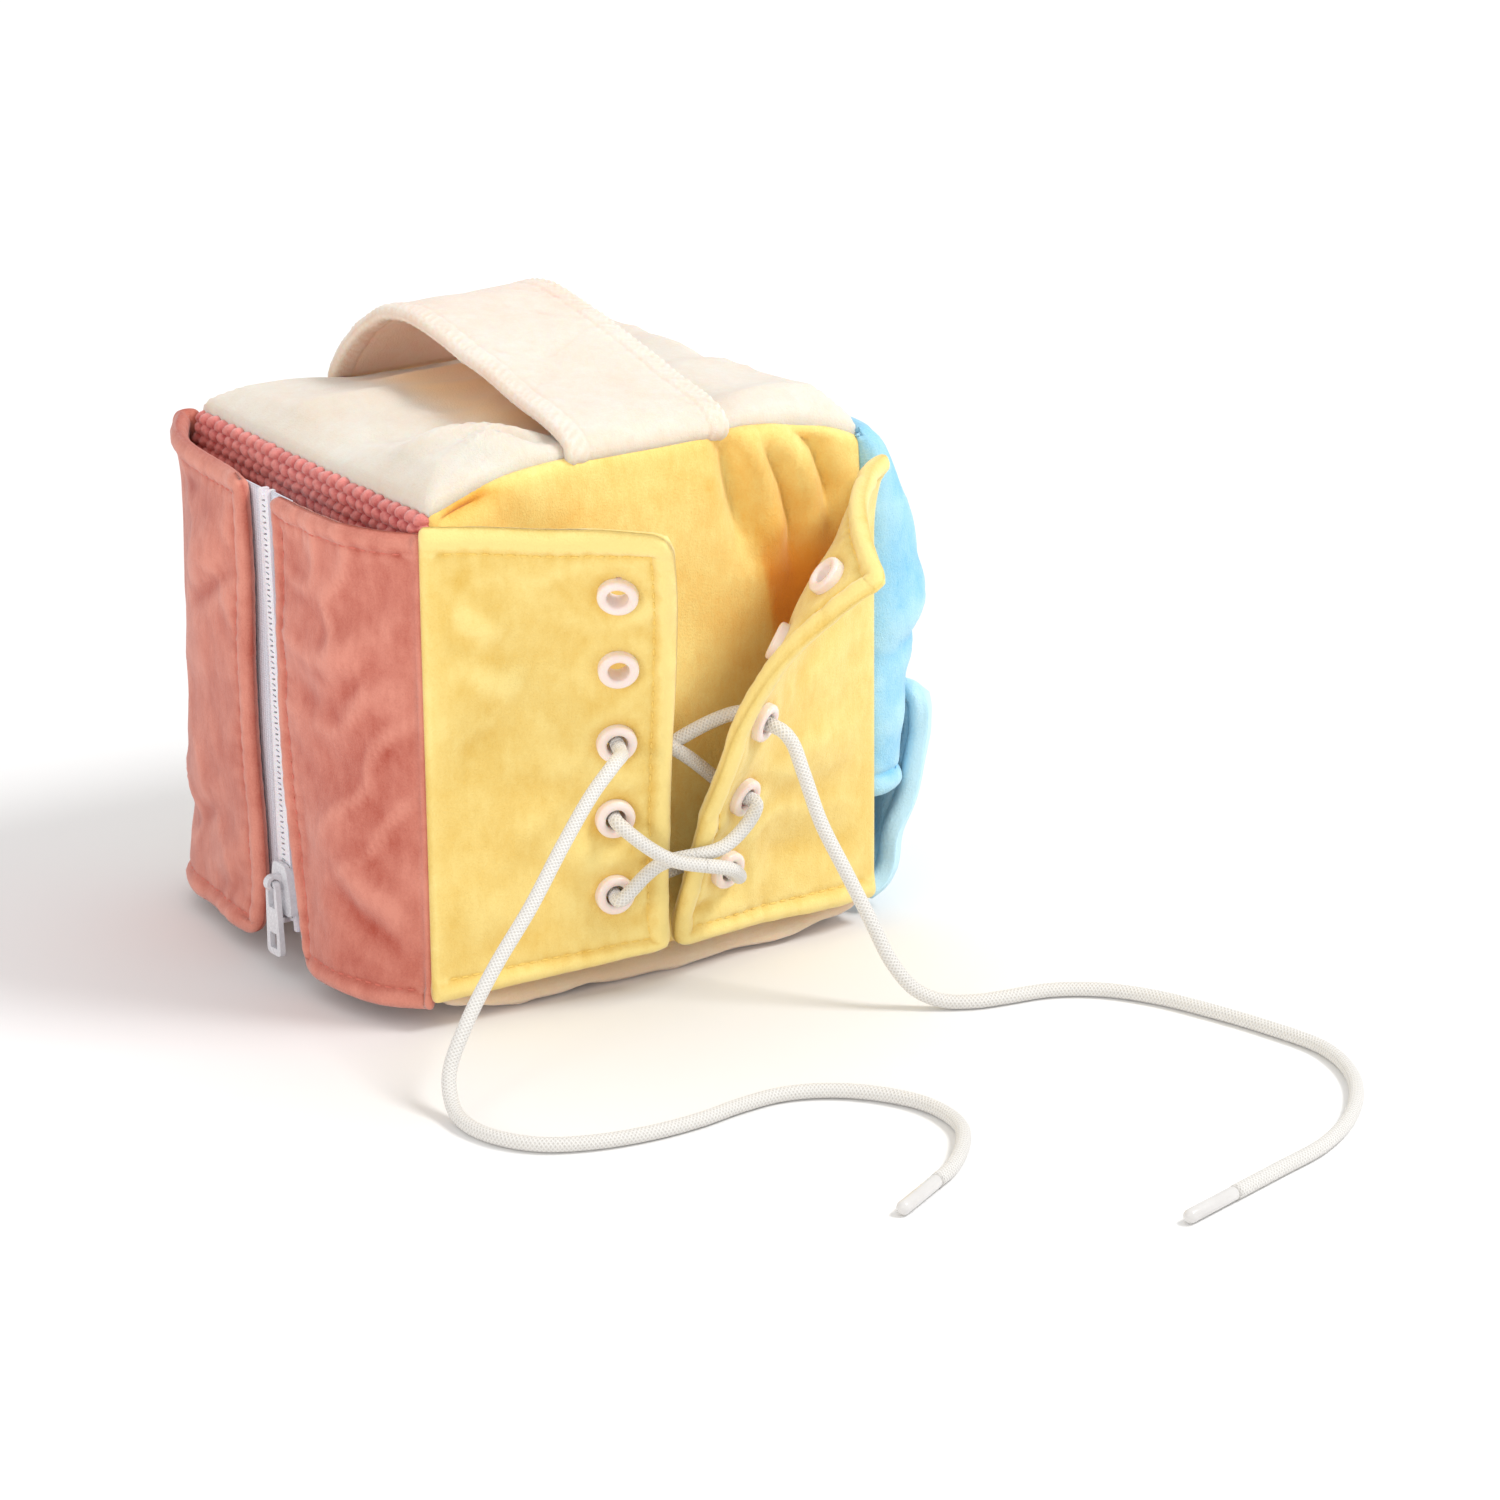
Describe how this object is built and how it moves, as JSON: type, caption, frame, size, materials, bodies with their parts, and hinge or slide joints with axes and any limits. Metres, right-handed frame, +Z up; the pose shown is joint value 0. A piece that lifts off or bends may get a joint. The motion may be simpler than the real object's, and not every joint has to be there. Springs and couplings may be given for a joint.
{
  "type": "soft activity block",
  "caption": "Stuffed fabric cube with a carrying strap on top, a side closed by a zip, a side closed by a lace through eyelets and a side with overlapping flaps.",
  "frame": {"origin": "middle of the flat that the block rests on", "axes": "+Z up, -Y towards the laced side, -X towards the zip, +X towards the overlapping flaps"},
  "size_m": [0.221, 0.3582, 0.1766],
  "materials": {
    "foam": "soft filling",
    "cream_fabric": "short pile",
    "pink_chenille": "bobbled",
    "yellow_fabric": "short pile",
    "blue_fabric": "short pile",
    "coral_fabric": "short pile",
    "tape": "woven",
    "zip_teeth": "moulded",
    "zip_slider": "enamelled",
    "eyelet": "moulded",
    "lace": "braided",
    "aglet": "clear",
    "patch": "hook and loop"
  },
  "bodies": {
    "block": {"stuffing_core": "foam", "top_panel": "cream_fabric", "bottom_panel": "cream_fabric", "back_panel": "cream_fabric", "zip_backing_panel": "pink_chenille", "lacing_backing_panel": "yellow_fabric", "blue_backing_panel": "blue_fabric", "top_strap": "cream_fabric", "zip_flap_rear": "coral_fabric", "zip_flap_front": "coral_fabric", "zip_tape_rear": "tape", "zip_tape_front": "tape", "zip_teeth_rear": "zip_teeth", "zip_teeth_front": "zip_teeth", "lace_laced": "lace", "blue_upper_flap": "blue_fabric", "loop_patch": "patch"},
    "zip_slider": {"zip_slider": "zip_slider"},
    "zip_pull": {"zip_pull": "zip_slider"},
    "left_flap": {"lacing_flap_left": "yellow_fabric", "eyelet_left_1": "eyelet", "eyelet_left_2": "eyelet", "eyelet_left_3": "eyelet", "eyelet_left_4": "eyelet", "eyelet_left_5": "eyelet", "lace_free_left": "lace", "aglet_left": "aglet"},
    "right_flap": {"lacing_flap_right": "yellow_fabric", "eyelet_right_1": "eyelet", "eyelet_right_2": "eyelet", "eyelet_right_3": "eyelet", "eyelet_right_4": "eyelet", "eyelet_right_5": "eyelet", "lace_free_right": "lace", "aglet_right": "aglet"},
    "lower_blue_flap": {"blue_lower_flap": "blue_fabric", "hook_patch": "patch"}
  },
  "joints": [
    {"name": "zip_slide", "type": "slide", "parent": "block", "child": "zip_slider", "axis": [0, 0.0379, 0.9993], "range_m": [0, 0.105], "deforming": ["zip_teeth_rear", "zip_teeth_front"]},
    {"name": "zip_pull_swing", "type": "hinge", "parent": "zip_slider", "child": "zip_pull", "pos_m": [-0.0884, -0.00539, 0.02604], "axis": [0, 0.9993, -0.0379], "range_deg": [0, 165]},
    {"name": "left_flap_open", "type": "hinge", "parent": "block", "child": "left_flap", "pos_m": [-0.0723, -0.0697, 0.075], "axis": [0, 0, -1], "range_deg": [0, 12], "deforming": ["lace_laced"]},
    {"name": "right_flap_open", "type": "hinge", "parent": "block", "child": "right_flap", "pos_m": [0.069, -0.0697, 0.075], "axis": [0, 0, 1], "range_deg": [0, 12], "deforming": ["lace_laced"]},
    {"name": "lower_blue_flap_open", "type": "hinge", "parent": "block", "child": "lower_blue_flap", "pos_m": [0.0741, 0, 0.007], "axis": [0, 1, 0], "range_deg": [0, 68]}
  ]
}
